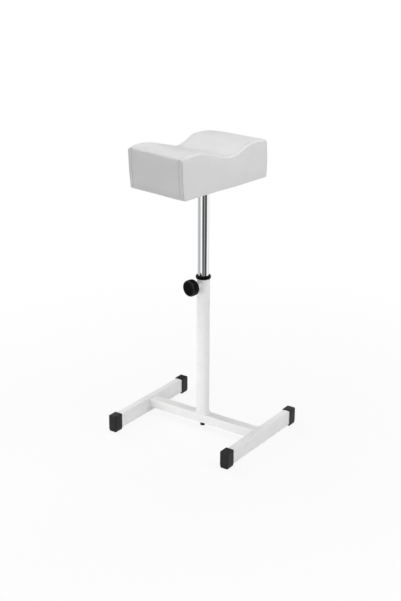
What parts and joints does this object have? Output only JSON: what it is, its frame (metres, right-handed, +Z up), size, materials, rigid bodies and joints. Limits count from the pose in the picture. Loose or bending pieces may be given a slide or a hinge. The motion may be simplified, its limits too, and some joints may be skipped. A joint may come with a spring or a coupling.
{
  "type": "pedicure footrest stool",
  "caption": "Free-standing pedicure footrest: padded saddle cushion on a telescopic post with a side clamp knob, on a low H-shaped tube base with end caps.",
  "frame": {"origin": "on the floor, under the axis of the post, in the middle of the base", "axes": "+Z up along the post; X along the crossbar, +X to the right when the clamp knob faces the viewer; Y along the floor runners, with the low front hump of the cushion and the clamp knob at -Y"},
  "size_m": [0.385, 0.3371, 0.789],
  "materials": {
    "white_powder_coat": "satin white powder coat on welded steel tube",
    "black_cap_plastic": "moulded black plastic, fine matt grain",
    "black_collar_plastic": "moulded black plastic, smooth",
    "black_knob_plastic": "moulded black plastic, satin",
    "black_oxide_steel": "black oxide on a rolled screw",
    "zinc_plated_steel": "bright zinc plate",
    "chromed_tube": "polished chrome plate",
    "white_nylon": "natural nylon",
    "birch_plywood": "raw birch plywood",
    "polyurethane_foam": "open-cell polyurethane foam",
    "white_vinyl_leather": "smooth white PU-coated upholstery, soft sheen",
    "black_nonwoven": "spun-bonded nonwoven"
  },
  "bodies": {
    "base": {"left_runner": "white_powder_coat", "right_runner": "white_powder_coat", "crossbar": "white_powder_coat", "crossbar_welds": "white_powder_coat", "front_left_cap": "black_cap_plastic", "front_right_cap": "black_cap_plastic", "rear_left_cap": "black_cap_plastic", "rear_right_cap": "black_cap_plastic", "post_tube": "white_powder_coat", "post_foot_plug": "white_powder_coat", "post_foot_weld": "white_powder_coat", "post_bolt": "black_oxide_steel", "post_washer": "zinc_plated_steel", "post_spring_washer": "zinc_plated_steel", "post_collar": "black_collar_plastic", "clamp_boss": "white_powder_coat", "clamp_boss_weld": "white_powder_coat"},
    "lift": {"slide_guide": "black_collar_plastic"},
    "seat": {"slide_tube": "chromed_tube", "seat_plate": "zinc_plated_steel", "seat_plate_weld": "zinc_plated_steel", "plate_bolts": "zinc_plated_steel", "plate_washers": "zinc_plated_steel", "tee_nuts": "zinc_plated_steel", "seat_board": "birch_plywood", "seat_foam": "polyurethane_foam", "seat_cover": "white_vinyl_leather", "seat_dust_cover": "black_nonwoven", "seat_staples": "zinc_plated_steel"},
    "pad": {"clamp_pad": "white_nylon"},
    "knob": {"clamp_screw": "zinc_plated_steel", "clamp_knob": "black_knob_plastic"}
  },
  "joints": [
    {"name": "seat_height", "type": "slide", "parent": "base", "child": "lift", "axis": [0, 0, 1], "range_m": [-0.23, 0.05]},
    {"name": "seat_swivel", "type": "hinge", "parent": "lift", "child": "seat", "pos_m": [0, 0, 0.3], "axis": [0, 0, 1], "continuous": true},
    {"name": "pad_shift", "type": "slide", "parent": "base", "child": "pad", "axis": [-0.1564, -0.9877, 0], "range_m": [0, 0.0038]},
    {"name": "knob_turn", "type": "hinge", "parent": "pad", "child": "knob", "pos_m": [0, 0, 0.412], "axis": [-0.1564, -0.9877, 0], "range_deg": [0, 1080]}
  ],
  "couplings": [
    {"joint": "pad_shift", "follows": "knob_turn", "m_per_rad": 0.00019894}
  ]
}
